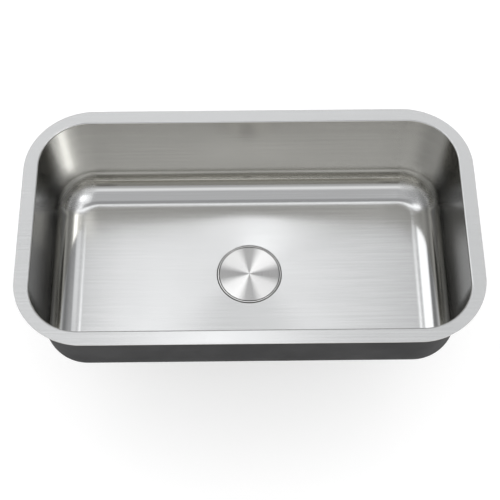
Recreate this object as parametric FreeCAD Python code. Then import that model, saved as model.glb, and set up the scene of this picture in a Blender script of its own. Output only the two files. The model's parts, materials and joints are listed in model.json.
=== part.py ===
import FreeCAD
import Part
import math
import os

from FreeCAD import Vector

# Undermount kitchen sink: one deep-drawn steel bowl with a flat rim, a sprayed sound coating and four
# sound pads underneath, and a basket strainer drain with a flat lid in the middle of the floor.
# Millimetres. +Z is up, +X runs along the sink and +Y points to the back, away from the user.
# The origin is the centre of the rim's top face, the plane that meets the underside of the worktop.

# ---- Bowl ----
rim_length = 760.0
rim_width = 440.0
rim_corner_radius = 116.0
rim_land = 22.0  # width of the flat rim along the straight sides
opening_corner_radius = 85.0
steel_sheet = 1.2
rim_bend_radius = 3.0
wall_draft = 4.0  # degrees from upright
cove_radius = 52.0  # between wall and floor
bowl_depth = 192.0  # rim to the floor beside the drain
floor_fall = 4.0  # how much lower the floor is at the drain than at the cove

# ---- Drain recess and hole in the floor ----
drain_hole_radius = 45.0
flange_radius = 56.5  # the strainer's flange, 113 across
recess_clearance = 0.4
recess_run = 0.5  # how far the recess wall slopes
recess_depth = 6.0
recess_bend_radius = 1.5
recess_land = 0.6  # level steel outside the recess's upper bend

# ---- Coating and pads underneath ----
coating_thickness = 0.8
coating_top = 10.0  # below the rim's top face
coating_hole_radius = 76.0
pad_thickness = 3.0
pad_corner_radius = 18.0
pad_spacing = 19.5  # from the end pads' ends to the side pads, along X
side_pad_width = 224.0
side_pad_gap = 25.0  # from the cove to the pad, along X
end_pad_length = 168.0
end_pad_width = 42.0
end_pad_gap = 7.5  # from the cove to the pad, along Y

# ---- Strainer body ----
flange_gasket_thickness = 1.2
flange_thickness = 1.0
lip_width = 2.3
lip_rise = 0.4  # lip above the floor
hole_clearance = 1.4  # cup in the sink's drain hole
cup_wall = 1.8
cup_depth = 52.2
cup_corner_radius = 6.0
throat_radius = 5.0
outlet_radius = 19.0
outlet_fall = 6.0  # how much the cup's bottom falls to the outlet
spigot_radius = 23.9
spigot_length = 21.0
thread_depth = 0.7
cup_thread_pitch = 2.309  # 11 threads to the inch
cup_thread_runout = 1.5  # plain wall between the thread and the cup's rounded foot
spigot_thread_pitch = 2.209  # 11 1/2 threads to the inch
spigot_thread_length = 13.0
guide_arm_width = 3.0
guide_height = 3.0
guide_hub_wall = 3.0
guide_clearance = 0.3

# ---- Seals and nuts under the sink ----
gasket_clearance = 0.1
gasket_land = 10.0  # radial width of the rings under the sink
sink_gasket_thickness = 3.0
friction_ring_thickness = 1.2
thread_clearance = 0.1
locknut_height = 10.0
locknut_wall = 6.5
locknut_collar_height = 3.5
locknut_collar_width = 3.0
locknut_lugs = 6
locknut_lug_length = 5.0
locknut_lug_width = 12.0
locknut_lug_radius = 2.0
locknut_edge_radius = 1.0
locknut_foot_radius = 1.5
locknut_thread_relief = 1.0  # plain bore below the thread
washer_thickness = 2.0
washer_lip = 1.5

# ---- Tailpiece and its nut ----
tube_radius = 19.05  # 38.1 across, the slip-joint size
tube_wall = 1.0
tube_length = 98.5
tube_flange_radius = 22.6
tube_flange_thickness = 1.5
coupling_across_flats = 56.0
coupling_thread_length = 10.0
coupling_lip_thickness = 3.0
coupling_lip_clearance = 1.0

# ---- Basket ----
basket_sheet = 0.7
basket_rim_overlap = 1.7  # flat rim lying on the dish
basket_gap = 3.3  # basket to cup wall at the top
basket_taper = 4.5
basket_bend_radius = 1.5
basket_corner_radius = 6.0
hole_radius = 2.0
wall_hole_rows = 3
wall_holes_per_row = 15
wall_hole_pitch = 9.0  # from row to row
first_wall_row = 11.0  # below the dish
floor_hole_rings = 2
first_floor_ring = 14.0  # radius of the inner ring of holes
floor_ring_pitch = 8.0  # from ring to ring
floor_hole_spacing = 10.5  # from hole to hole in a ring, or a little more

# ---- Stopper in the basket ----
post_radius = 3.0
slide_clearance = 0.06
hub_radius = 6.0
hub_flange_radius = 9.0
hub_flange_thickness = 1.5
hub_height = 10.0
hub_edge_radius = 0.5
rivet_radius = 6.6
rivet_height = 1.5
ring_groove_depth = 1.6
ring_groove_height = 2.4
ring_groove_drop = 2.0
stopper_travel = 9.0
stop_clearance = 0.2  # seal to its seat when pushed down, and backing to hub when pulled up
nut_to_guide = 2.0  # nut to the guide when pushed down
stopper_radius = 25.0
stopper_seal_thickness = 4.0
stopper_seal_edge_radius = 1.0
stopper_backing_radius = 17.0
stopper_backing_thickness = 1.0
nut_across_flats = 10.0
nut_height = 4.5
post_tail = 18.0  # post below the nut
post_end_radius = 1.0
knob_radius = 10.0
knob_waist_radius = 5.5
knob_height = 9.0
knob_edge_radius = 1.5
knob_foot_radius = 0.5
knob_clear_of_rim = 3.5
knob_socket_depth = 5.5

# ---- Lid ----
lid_gap = 0.9
lid_thickness = 1.5
lid_rise = 0.2  # lid above the lip
lid_edge_radius = 0.6
foot_radius = 2.5
foot_count = 3

# ---- Heights and radii that follow ----
opening_half_length = rim_length / 2 - rim_land
opening_half_width = rim_width / 2 - rim_land
corner_centre_x = opening_half_length - opening_corner_radius
corner_centre_y = opening_half_width - opening_corner_radius

floor_z = -bowl_depth
floor_edge_z = floor_z + floor_fall
seat_z = floor_z - recess_depth
recess_radius = flange_radius + recess_clearance
recess_edge_radius = recess_radius + recess_run
recess_mouth_radius = recess_edge_radius + recess_bend_radius + recess_land
sink_underside_z = seat_z - steel_sheet

flange_underside_z = seat_z + flange_gasket_thickness
dish_z = flange_underside_z + flange_thickness
lip_top_z = floor_z + lip_rise
lip_inner_radius = flange_radius - lip_width
cup_radius = drain_hole_radius - hole_clearance
cup_inner_radius = cup_radius - cup_wall
cup_bottom_z = dish_z - cup_depth
outlet_z = cup_bottom_z - outlet_fall
spigot_end_z = outlet_z - spigot_length

friction_ring_z = sink_underside_z - sink_gasket_thickness
locknut_top_z = friction_ring_z - friction_ring_thickness
washer_bottom_z = spigot_end_z - washer_thickness
tube_flange_z = washer_bottom_z - tube_flange_thickness

basket_rim_z = dish_z + basket_sheet
basket_rim_radius = cup_inner_radius + throat_radius + basket_rim_overlap
basket_radius = cup_inner_radius - basket_gap
post_hole_radius = post_radius + slide_clearance
hub_spigot_radius = (hub_radius + post_hole_radius) / 2

outlet_slope = outlet_fall / (cup_inner_radius - outlet_radius)
seal_seat_z = outlet_z + (stopper_radius - outlet_radius) * outlet_slope
seal_edge_z = seal_seat_z + stopper_travel + stop_clearance
seal_bottom_z = seal_edge_z - (stopper_radius - outlet_radius) * outlet_slope
seal_top_z = seal_edge_z + stopper_seal_thickness
backing_top_z = seal_top_z + stopper_backing_thickness
hub_underside_z = backing_top_z + stop_clearance
basket_floor_z = hub_underside_z + rivet_height + basket_sheet
hub_top_z = basket_floor_z + hub_height
stopper_nut_z = seal_bottom_z - nut_height
guide_top_z = stopper_nut_z - stopper_travel - nut_to_guide
knob_top_z = basket_rim_z - knob_clear_of_rim
knob_bottom_z = knob_top_z - knob_height

lid_radius = lip_inner_radius - lid_gap
lid_top_z = lip_top_z + lid_rise
lid_underside_z = lid_top_z - lid_thickness
foot_circle_radius = (basket_radius + basket_rim_radius) / 2

centre = Vector(0, 0, 0)
up = Vector(0, 0, 1)


# ---- Outlines and solids of revolution ----
def rounding(before, corner, after, radius):
    """Start, middle and end of the arc that rounds a corner between two neighbours."""
    to_before = (before - corner).normalize()
    to_after = (after - corner).normalize()
    half_angle = to_before.getAngle(to_after) / 2
    bisector = (to_before + to_after).normalize()
    reach = radius / math.tan(half_angle)
    middle = corner + bisector * (radius / math.sin(half_angle) - radius)
    return corner + to_before * reach, middle, corner + to_after * reach


def rounded_face(corners):
    """A face in the XZ plane from corners (x, z) or (x, z, radius)."""
    points = [Vector(c[0], 0, c[1]) for c in corners]
    count = len(corners)
    edges = []
    joins = []
    for i, corner in enumerate(corners):
        if len(corner) == 3 and corner[2] > 0:
            arc = rounding(points[i - 1], points[i], points[(i + 1) % count], corner[2])
            joins.append((arc[0], arc[2]))
            edges.append(Part.Arc(*arc).toShape())
        else:
            joins.append((points[i], points[i]))
    for i in range(count):
        start, end = joins[i][1], joins[(i + 1) % count][0]
        if start.distanceToPoint(end) > 1e-6:
            edges.append(Part.makeLine(start, end))
    return Part.Face(Part.Wire(Part.__sortEdges__(edges)))


def turned(corners):
    """A solid turned about the Z axis from the corners of half its section."""
    return rounded_face(corners).revolve(centre, up, 360)


def ring(inner_radius, outer_radius, bottom_z, top_z):
    bottom = [(inner_radius, bottom_z), (outer_radius, bottom_z)]
    top = [(outer_radius, top_z), (inner_radius, top_z)]
    return turned(bottom + top)


def cylinder(radius, bottom_z, top_z, x=0.0, y=0.0):
    return Part.makeCylinder(radius, top_z - bottom_z, Vector(x, y, bottom_z))


def hexagon_prism(across_flats, bottom_z, top_z):
    reach = across_flats / 2 / math.cos(math.pi / 6)
    angles = [k * math.pi / 3 for k in range(7)]
    points = [Vector(reach * math.cos(a), reach * math.sin(a), bottom_z) for a in angles]
    return Part.Face(Part.makePolygon(points)).extrude(Vector(0, 0, top_z - bottom_z))


def offset_corners(corners, distance):
    """The corners of an open outline moved to its left by a distance, with bend radii that follow."""
    points = [(c[0], c[1]) for c in corners]
    directions = []
    for (x0, z0), (x1, z1) in zip(points, points[1:]):
        length = math.hypot(x1 - x0, z1 - z0)
        directions.append(((x1 - x0) / length, (z1 - z0) / length))
    moved = []
    for i, (x, z) in enumerate(points):
        before = directions[max(i - 1, 0)]
        after = directions[min(i, len(directions) - 1)]
        normal = (-before[1] - after[1], before[0] + after[0])
        scale = distance / (1 + before[0] * after[0] + before[1] * after[1])
        turn = before[0] * after[1] - before[1] * after[0]
        radius = corners[i][2] if len(corners[i]) == 3 else 0.0
        if radius > 0:
            radius -= math.copysign(distance, turn)
        moved.append((x + normal[0] * scale, z + normal[1] * scale, radius))
    return moved


def strip_corners(corners, near, far):
    """The closed outline of a layer between two offsets of an open outline."""
    return offset_corners(corners, near) + offset_corners(corners, far)[::-1]


def thread_corners(crest_radius, start_z, pitch, length):
    """The corners of the V-shaped thread rings that fit a length, from the top down."""
    turns = int(length / pitch)
    corners = []
    for turn in range(turns):
        z = start_z - turn * pitch
        corners.append((crest_radius, z))
        corners.append((crest_radius - thread_depth, z - pitch / 2))
    corners.append((crest_radius, start_z - turns * pitch))
    return corners


# ---- Bowl, coating and pads ----
def wall_corners():
    """The inside of the rim, wall and cove, as distance from the corner's upright axis and height."""
    draft = math.radians(wall_draft)
    rim_tangent = rim_bend_radius * math.tan((math.pi / 2 - draft) / 2)
    wall_top = opening_corner_radius - rim_tangent
    wall_foot = wall_top + floor_edge_z * math.tan(draft)
    floor_edge = wall_foot - cove_radius * math.tan((math.pi / 2 - draft) / 2)
    return [
        (opening_corner_radius + rim_land, 0.0),
        (wall_top, 0.0, rim_bend_radius),
        (wall_foot, floor_edge_z, cove_radius),
        (floor_edge, floor_edge_z),
    ]


def around_opening(section):
    """A section carried round the opening: four straight runs and four quarter turns."""
    starts = [
        Vector(corner_centre_x, -corner_centre_y, 0),
        Vector(corner_centre_x, corner_centre_y, 0),
        Vector(-corner_centre_x, corner_centre_y, 0),
        Vector(-corner_centre_x, -corner_centre_y, 0),
    ]
    runs = []
    for side in range(4):
        here, there = starts[side], starts[(side + 1) % 4]
        straight = section.extrude(Vector(0, here.distanceToPoint(there), 0))
        straight.rotate(centre, up, 90 * side)
        straight.translate(here)
        corner = section.revolve(centre, up, 90)
        corner.rotate(centre, up, 90 * side)
        corner.translate(there)
        runs += [straight, corner]
    return runs[0].multiFuse(runs[1:])


def rounded_rectangle(length, width, radius, z):
    """An outline of straight sides and quarter arcs, starting at the right-hand side's lower end."""
    x, y = length / 2 - radius, width / 2 - radius
    edges = []
    for side, (cx, cy) in enumerate([(x, y), (-x, y), (-x, -y), (x, -y)]):
        turn = math.pi / 2 * side
        across = y if side % 2 == 0 else x
        out = Vector(math.cos(turn), math.sin(turn), 0)
        along = Vector(-math.sin(turn), math.cos(turn), 0)
        end = Vector(cx, cy, z) + out * radius
        middle = Vector(cx, cy, z) + (out + along).normalize() * radius
        edges.append(Part.makeLine(end - along * (2 * across), end))
        edges.append(Part.Arc(end, middle, Vector(cx, cy, z) + along * radius).toShape())
    return Part.Wire(edges)


def divided_circle(radius, z, guide):
    """A circle cut into arcs at the directions of another outline's corners."""
    angles = [math.atan2(v.Point.y, v.Point.x) for v in guide.OrderedVertexes]
    edges = []
    for start, end in zip(angles, angles[1:] + angles[:1]):
        span = (end - start) % (2 * math.pi)
        at = [start, start + span / 2, start + span]
        edges.append(Part.Arc(*[Vector(radius * math.cos(a), radius * math.sin(a), z) for a in at]).toShape())
    return Part.Wire(edges)


def floor_edge():
    """Half the length, half the width and the corner radius of the floor inside the cove."""
    radius = wall_corners()[-1][0]
    return corner_centre_x + radius, corner_centre_y + radius, radius


def floor_block(drop):
    """Everything above the sloping floor and inside the cove's edge, with the floor lowered by drop."""
    half_length, half_width, radius = floor_edge()
    outline = rounded_rectangle(2 * half_length, 2 * half_width, radius, floor_edge_z - drop)
    drain_circle = divided_circle(recess_mouth_radius, floor_z - drop, outline)
    block = Part.makeLoft([outline, drain_circle], True, True)
    if drop > 0:
        block = block.fuse(Part.Face(outline).extrude(Vector(0, 0, drop)))
    return block


def floor_layer(near, far):
    return floor_block(far).cut(floor_block(near))


def cleaned(shape):
    """The one solid in a shape, with the seams between its fused runs taken out."""
    return shape.removeSplitter().Solids[0]


def bowl():
    walls = around_opening(rounded_face(strip_corners(wall_corners(), 0.0, steel_sheet)))
    rim_outline = rounded_rectangle(rim_length, rim_width, rim_corner_radius, -steel_sheet)
    rim_corners = Part.Face(rounded_rectangle(2 * rim_length, 2 * rim_width, rim_corner_radius, -steel_sheet))
    outside_rim = rim_corners.cut(Part.Face(rim_outline)).extrude(Vector(0, 0, steel_sheet))
    floor = floor_layer(0.0, steel_sheet).cut(cylinder(recess_mouth_radius, seat_z, floor_edge_z))
    recess = turned(
        strip_corners(
            [
                (recess_mouth_radius, floor_z),
                (recess_edge_radius, floor_z, recess_bend_radius),
                (recess_radius, seat_z, recess_bend_radius),
                (drain_hole_radius, seat_z),
            ],
            0.0,
            steel_sheet,
        )
    )
    return cleaned(walls.cut(outside_rim).multiFuse([floor, recess]))


def sound_coating():
    near, far = steel_sheet, steel_sheet + coating_thickness
    walls = around_opening(rounded_face(strip_corners(wall_corners(), near, far)))
    lowest_corner = Vector(-rim_length / 2, -rim_width / 2, -coating_top)
    bare_top = Part.makeBox(rim_length, rim_width, coating_top, lowest_corner)
    floor = floor_layer(near, far).cut(cylinder(coating_hole_radius, floor_z - far, floor_edge_z))
    return cleaned(walls.cut(bare_top).fuse(floor))


def sound_pad(length, width, x, y):
    near = steel_sheet + coating_thickness
    outline = rounded_rectangle(length, width, pad_corner_radius, 0)
    block = Part.Face(outline).extrude(Vector(0, 0, pad_thickness + floor_fall + near))
    block.translate(Vector(x, y, floor_z - near - pad_thickness))
    return cleaned(floor_layer(near, near + pad_thickness).common(block))


def side_pad(side):
    """The pad at the left (-1) or right (1) of the drain, which fills the room that the end pads leave."""
    inner_x = end_pad_length / 2 + pad_spacing
    outer_x = floor_edge()[0] - side_pad_gap
    return sound_pad(outer_x - inner_x, side_pad_width, side * (inner_x + outer_x) / 2, 0)


def end_pad(side):
    """The pad between the drain and the front (-1) or rear (1) wall."""
    centre_y = floor_edge()[1] - end_pad_gap - end_pad_width / 2
    return sound_pad(end_pad_length, end_pad_width, 0, side * centre_y)


# ---- Strainer, seals and nuts ----
def strainer_body():
    cup_thread_length = locknut_top_z - cup_bottom_z - cup_corner_radius - cup_thread_runout
    spigot_thread_start = spigot_end_z + spigot_thread_length
    bottom_corner_z = cup_bottom_z - cup_wall
    spigot_root_z = outlet_z - cup_wall + (spigot_radius - outlet_radius) * outlet_slope
    corners = [
        (cup_inner_radius, dish_z, throat_radius),
        (lip_inner_radius, dish_z, lip_width / 3),
        (lip_inner_radius, lip_top_z, lip_width / 3),
        (flange_radius, lip_top_z, lip_width / 3),
        (flange_radius, flange_underside_z),
        (cup_radius, flange_underside_z, throat_radius - cup_wall),
    ]
    corners += thread_corners(cup_radius, locknut_top_z, cup_thread_pitch, cup_thread_length)
    corners += [
        (cup_radius, bottom_corner_z, cup_corner_radius + cup_wall),
        (spigot_radius, spigot_root_z),
    ]
    corners += thread_corners(spigot_radius, spigot_thread_start, spigot_thread_pitch, spigot_thread_length)
    corners += [
        (spigot_radius - thread_depth, spigot_end_z),
        (outlet_radius, spigot_end_z),
        (outlet_radius, outlet_z, cup_wall),
        (cup_inner_radius, cup_bottom_z, cup_corner_radius),
    ]
    body = turned(corners)
    bottom = guide_top_z - guide_height
    guide_hole_radius = post_radius + guide_clearance
    guide = cylinder(guide_hole_radius + guide_hub_wall, bottom, guide_top_z)
    reach = outlet_radius + (spigot_radius - outlet_radius) / 3
    for angle in (0, 90):
        end_corner = Vector(-reach, -guide_arm_width / 2, bottom)
        arm = Part.makeBox(2 * reach, guide_arm_width, guide_height, end_corner)
        arm.rotate(centre, up, angle)
        guide = guide.fuse(arm)
    guide = guide.cut(cylinder(guide_hole_radius, bottom, guide_top_z))
    return cleaned(body.fuse(guide))


def under_sink_ring(top_z, thickness):
    inner = drain_hole_radius + gasket_clearance
    return ring(inner, inner + gasket_land, top_z - thickness, top_z)


def flange_gasket():
    inner = cup_radius + throat_radius - cup_wall + gasket_clearance
    outer = recess_radius - recess_bend_radius - gasket_clearance
    return ring(inner, outer, seat_z, flange_underside_z)


def locknut():
    bore = cup_radius + thread_clearance
    wall = bore + locknut_wall
    collar = wall + locknut_collar_width
    bottom = locknut_top_z - locknut_height
    collar_bottom = locknut_top_z - locknut_collar_height
    thread_length = locknut_height - locknut_thread_relief
    nut = turned(
        thread_corners(bore, locknut_top_z, cup_thread_pitch, thread_length)
        + [
            (bore, bottom),
            (wall, bottom, locknut_foot_radius),
            (wall, collar_bottom),
            (collar, collar_bottom, locknut_edge_radius),
            (collar, locknut_top_z, locknut_edge_radius),
        ]
    )
    lugs = []
    for k in range(locknut_lugs):
        lug = Part.makeBox(
            collar + locknut_lug_length - wall + locknut_wall / 2,
            locknut_lug_width,
            locknut_height,
            Vector(wall - locknut_wall / 2, -locknut_lug_width / 2, bottom),
        )
        outer = [e for e in lug.Edges if min(v.X for v in e.Vertexes) > collar]
        lug = lug.makeFillet(locknut_lug_radius, [e for e in outer if e.Vertexes[0].Z != e.Vertexes[1].Z])
        lug.rotate(centre, up, 360.0 / locknut_lugs * k)
        lugs.append(lug)
    return cleaned(nut.multiFuse(lugs))


def tailpiece_washer():
    return ring(outlet_radius - washer_lip, spigot_radius - thread_depth, washer_bottom_z, spigot_end_z)


def tailpiece():
    bore = tube_radius - tube_wall
    end_z = tube_flange_z - tube_length
    return turned(
        [
            (bore, washer_bottom_z, tube_wall / 2),
            (tube_flange_radius, washer_bottom_z),
            (tube_flange_radius, tube_flange_z),
            (tube_radius, tube_flange_z),
            (tube_radius, end_z),
            (bore, end_z),
        ]
    )


def coupling_nut():
    bore = spigot_radius + thread_clearance
    thread_start = spigot_end_z + spigot_thread_length
    thread = thread_corners(bore, thread_start, spigot_thread_pitch, coupling_thread_length)
    top = thread_start
    bottom = tube_flange_z - coupling_lip_thickness
    corner_reach = coupling_across_flats / 2 / math.cos(math.pi / 6)
    bevel = corner_reach - coupling_across_flats / 2
    envelope = turned(
        [
            (0, bottom),
            (corner_reach - bevel, bottom),
            (corner_reach, bottom + bevel / 2),
            (corner_reach, top - bevel / 2),
            (corner_reach - bevel, top),
            (0, top),
        ]
    )
    nut = hexagon_prism(coupling_across_flats, bottom, top).common(envelope)
    nut = nut.cut(turned(thread + [(bore, tube_flange_z), (0, tube_flange_z), (0, top)]))
    return cleaned(nut.cut(cylinder(tube_radius + coupling_lip_clearance, bottom, tube_flange_z)))


# ---- Basket and stopper ----
def basket():
    corners = [
        (basket_rim_radius, basket_rim_z),
        (basket_radius, basket_rim_z, basket_bend_radius),
        (basket_radius - basket_taper, basket_floor_z, basket_corner_radius),
        (hub_spigot_radius, basket_floor_z),
    ]
    shell = turned(strip_corners(corners, 0.0, basket_sheet))
    holes = []
    for row in range(wall_hole_rows):
        z = dish_z - first_wall_row - row * wall_hole_pitch
        for k in range(wall_holes_per_row):
            angle = 2 * math.pi * (k + 0.5 * (row % 2)) / wall_holes_per_row
            outward = Vector(math.cos(angle), math.sin(angle), 0)
            start = outward * (basket_radius - 2 * basket_taper) + Vector(0, 0, z)
            holes.append(Part.makeCylinder(hole_radius, 2 * basket_taper + basket_gap, start, outward))
    for floor_ring in range(floor_hole_rings):
        ring_radius = first_floor_ring + floor_ring * floor_ring_pitch
        count = int(2 * math.pi * ring_radius / floor_hole_spacing)
        for k in range(count):
            angle = 2 * math.pi * k / count
            x, y = ring_radius * math.cos(angle), ring_radius * math.sin(angle)
            bottom = basket_floor_z - 2 * basket_sheet
            holes.append(cylinder(hole_radius, bottom, bottom + 3 * basket_sheet, x, y))
    return cleaned(shell.cut(Part.makeCompound(holes)))


def basket_hub():
    groove_top = hub_top_z - ring_groove_drop
    groove_radius = post_hole_radius + ring_groove_depth
    underside = basket_floor_z - basket_sheet
    return turned(
        [
            (post_hole_radius, hub_underside_z),
            (rivet_radius, hub_underside_z, hub_edge_radius),
            (rivet_radius, underside),
            (hub_spigot_radius, underside),
            (hub_spigot_radius, basket_floor_z),
            (hub_flange_radius, basket_floor_z),
            (hub_flange_radius, basket_floor_z + hub_flange_thickness, hub_edge_radius),
            (hub_radius, basket_floor_z + hub_flange_thickness, hub_edge_radius),
            (hub_radius, hub_top_z, hub_edge_radius),
            (post_hole_radius, hub_top_z),
            (post_hole_radius, groove_top),
            (groove_radius, groove_top),
            (groove_radius, groove_top - ring_groove_height),
            (post_hole_radius, groove_top - ring_groove_height),
        ]
    )


def hub_seal_ring():
    groove_top = hub_top_z - ring_groove_drop
    groove_radius = post_hole_radius + ring_groove_depth
    return ring(post_hole_radius, groove_radius, groove_top - ring_groove_height, groove_top)


def stopper_post():
    top = knob_bottom_z + knob_socket_depth
    bottom = stopper_nut_z - post_tail
    rounded_end = (post_radius, bottom, post_end_radius)
    return turned([(0, bottom), rounded_end, (post_radius, top), (0, top)])


def stopper_knob():
    socket_top = knob_bottom_z + knob_socket_depth
    return turned(
        [
            (post_radius, knob_bottom_z),
            (knob_waist_radius, knob_bottom_z, knob_foot_radius),
            (knob_waist_radius, knob_bottom_z + knob_height / 3, knob_edge_radius),
            (knob_radius, knob_bottom_z + knob_height / 2, knob_edge_radius),
            (knob_radius, knob_top_z, knob_edge_radius),
            (0, knob_top_z),
            (0, socket_top),
            (post_radius, socket_top),
        ]
    )


def stopper_backing():
    return ring(post_radius, stopper_backing_radius, seal_top_z, backing_top_z)


def stopper_seal():
    return turned(
        [
            (post_radius, seal_bottom_z),
            (outlet_radius, seal_bottom_z),
            (stopper_radius, seal_edge_z),
            (stopper_radius, seal_top_z, stopper_seal_edge_radius),
            (post_radius, seal_top_z),
        ]
    )


def stopper_nut():
    nut = hexagon_prism(nut_across_flats, stopper_nut_z, seal_bottom_z)
    return nut.cut(cylinder(post_radius, stopper_nut_z, seal_bottom_z))


# ---- Lid ----
def drain_lid():
    return turned(
        [
            (0, lid_underside_z),
            (lid_radius, lid_underside_z, lid_edge_radius),
            (lid_radius, lid_top_z, lid_edge_radius),
            (0, lid_top_z),
        ]
    )


def lid_feet():
    feet = []
    for k in range(foot_count):
        angle = 2 * math.pi * k / foot_count + math.pi / 2
        x, y = foot_circle_radius * math.cos(angle), foot_circle_radius * math.sin(angle)
        feet.append(cylinder(foot_radius, basket_rim_z, lid_underside_z, x, y))
    return Part.makeCompound(feet)


nodes = {
    "bowl": bowl(),
    "sound_coating": sound_coating(),
    "sound_pad_left": side_pad(-1),
    "sound_pad_right": side_pad(1),
    "sound_pad_front": end_pad(-1),
    "sound_pad_rear": end_pad(1),
    "strainer_body": strainer_body(),
    "flange_gasket": flange_gasket(),
    "sink_gasket": under_sink_ring(sink_underside_z, sink_gasket_thickness),
    "friction_ring": under_sink_ring(friction_ring_z, friction_ring_thickness),
    "locknut": locknut(),
    "tailpiece_washer": tailpiece_washer(),
    "tailpiece": tailpiece(),
    "coupling_nut": coupling_nut(),
    "basket": basket(),
    "basket_hub": basket_hub(),
    "hub_seal_ring": hub_seal_ring(),
    "stopper_post": stopper_post(),
    "stopper_knob": stopper_knob(),
    "stopper_backing": stopper_backing(),
    "stopper_seal": stopper_seal(),
    "stopper_nut": stopper_nut(),
    "drain_lid": drain_lid(),
    "lid_feet": lid_feet(),
}

os.makedirs("parts", exist_ok=True)
for name, shape in nodes.items():
    box = shape.BoundBox
    kept = f"solids {len(shape.Solids)} valid {shape.isValid()}"
    print(f"{name:18s} {kept} volume {shape.Volume / 1000:9.2f} cm3 z {box.ZMin:8.2f} to {box.ZMax:8.2f}")
    shape.exportStep(os.path.join("parts", name + ".step"))
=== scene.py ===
import json
import math

import bmesh
import bpy
import numpy as np
from mathutils import Matrix, Vector

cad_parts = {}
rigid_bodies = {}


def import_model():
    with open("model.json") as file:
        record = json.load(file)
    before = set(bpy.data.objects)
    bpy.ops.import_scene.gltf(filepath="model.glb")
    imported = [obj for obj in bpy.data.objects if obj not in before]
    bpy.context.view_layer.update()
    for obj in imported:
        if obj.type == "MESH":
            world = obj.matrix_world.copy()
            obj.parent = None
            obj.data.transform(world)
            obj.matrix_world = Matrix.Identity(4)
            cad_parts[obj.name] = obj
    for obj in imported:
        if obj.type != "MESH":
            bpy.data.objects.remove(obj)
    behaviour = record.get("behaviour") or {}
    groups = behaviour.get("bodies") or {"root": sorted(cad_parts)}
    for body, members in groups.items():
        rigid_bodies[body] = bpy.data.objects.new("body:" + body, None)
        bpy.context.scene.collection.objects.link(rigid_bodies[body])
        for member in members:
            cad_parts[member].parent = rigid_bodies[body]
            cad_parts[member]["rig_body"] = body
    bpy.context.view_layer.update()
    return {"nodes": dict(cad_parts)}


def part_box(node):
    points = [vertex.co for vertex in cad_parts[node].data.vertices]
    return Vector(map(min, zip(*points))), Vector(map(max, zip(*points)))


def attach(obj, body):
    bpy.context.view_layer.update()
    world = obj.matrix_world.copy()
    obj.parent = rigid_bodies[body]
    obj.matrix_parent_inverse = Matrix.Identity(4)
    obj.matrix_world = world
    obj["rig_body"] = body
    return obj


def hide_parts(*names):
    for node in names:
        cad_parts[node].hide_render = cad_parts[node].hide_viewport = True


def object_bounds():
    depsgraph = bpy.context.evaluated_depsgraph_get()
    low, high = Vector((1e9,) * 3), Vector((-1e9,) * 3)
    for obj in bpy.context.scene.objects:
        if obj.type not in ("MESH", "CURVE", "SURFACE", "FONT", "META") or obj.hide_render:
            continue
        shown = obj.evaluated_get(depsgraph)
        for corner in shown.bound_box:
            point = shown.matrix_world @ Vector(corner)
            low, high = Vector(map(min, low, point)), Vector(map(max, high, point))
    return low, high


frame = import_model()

cadNodes = frame["nodes"]
bpy.context.scene.view_settings.view_transform = "Standard"
print("frame loaded:", len(cadNodes), "nodes")

# the photograph's camera, worked out from the rim, the floor and the drain; metres and degrees
photoCamera = {
    "pitch": 61.92, "yaw": -0.70, "roll": 0.05, "distance": 1.9715, "aim": (0.0005, -0.0542, 0.0),
    "focalPixels": 1213.0, "framePixels": 500.0, "sensor": 36.0, "farthest": 100.0,
}


# the camera stands back from its aim along its own axis, with its right and up turned by the roll; its lens
# is the focal length as a share of the frame, times the sensor
def makeCamera(v):
    pitch, yaw, roll = (math.radians(v[k]) for k in ("pitch", "yaw", "roll"))
    back = Vector((math.sin(yaw) * math.cos(pitch), -math.cos(yaw) * math.cos(pitch), math.sin(pitch)))
    right = Vector((math.cos(yaw), math.sin(yaw), 0))
    up = back.cross(right)
    rolledRight = right * math.cos(roll) + up * math.sin(roll)
    rolledUp = up * math.cos(roll) - right * math.sin(roll)
    place = Matrix((rolledRight, rolledUp, back)).transposed().to_4x4()
    place.translation = Vector(v["aim"]) + back * v["distance"]
    data = bpy.data.cameras.new("photoCamera")
    data.sensor_width = v["sensor"]
    data.lens = v["focalPixels"] / v["framePixels"] * v["sensor"]
    data.clip_end = v["farthest"]
    camera = bpy.data.objects.new("photoCamera", data)
    camera.matrix_world = place
    bpy.context.scene.collection.objects.link(camera)
    bpy.context.scene.camera = camera


makeCamera(photoCamera)

upward = np.array([0.0, 0.0, 1.0])
# a length that only keeps divisions from zero, and the length under which two points are one, in metres
tiny, sameSpot = 1e-9, 1e-7


def unit(v):
    return v / np.maximum(np.linalg.norm(v, axis=-1, keepdims=True), tiny)


# flat vectors (x, y) given a third part of zero
def raised(v):
    return np.concatenate([v, np.zeros_like(v[..., :1])], axis=-1)


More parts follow.
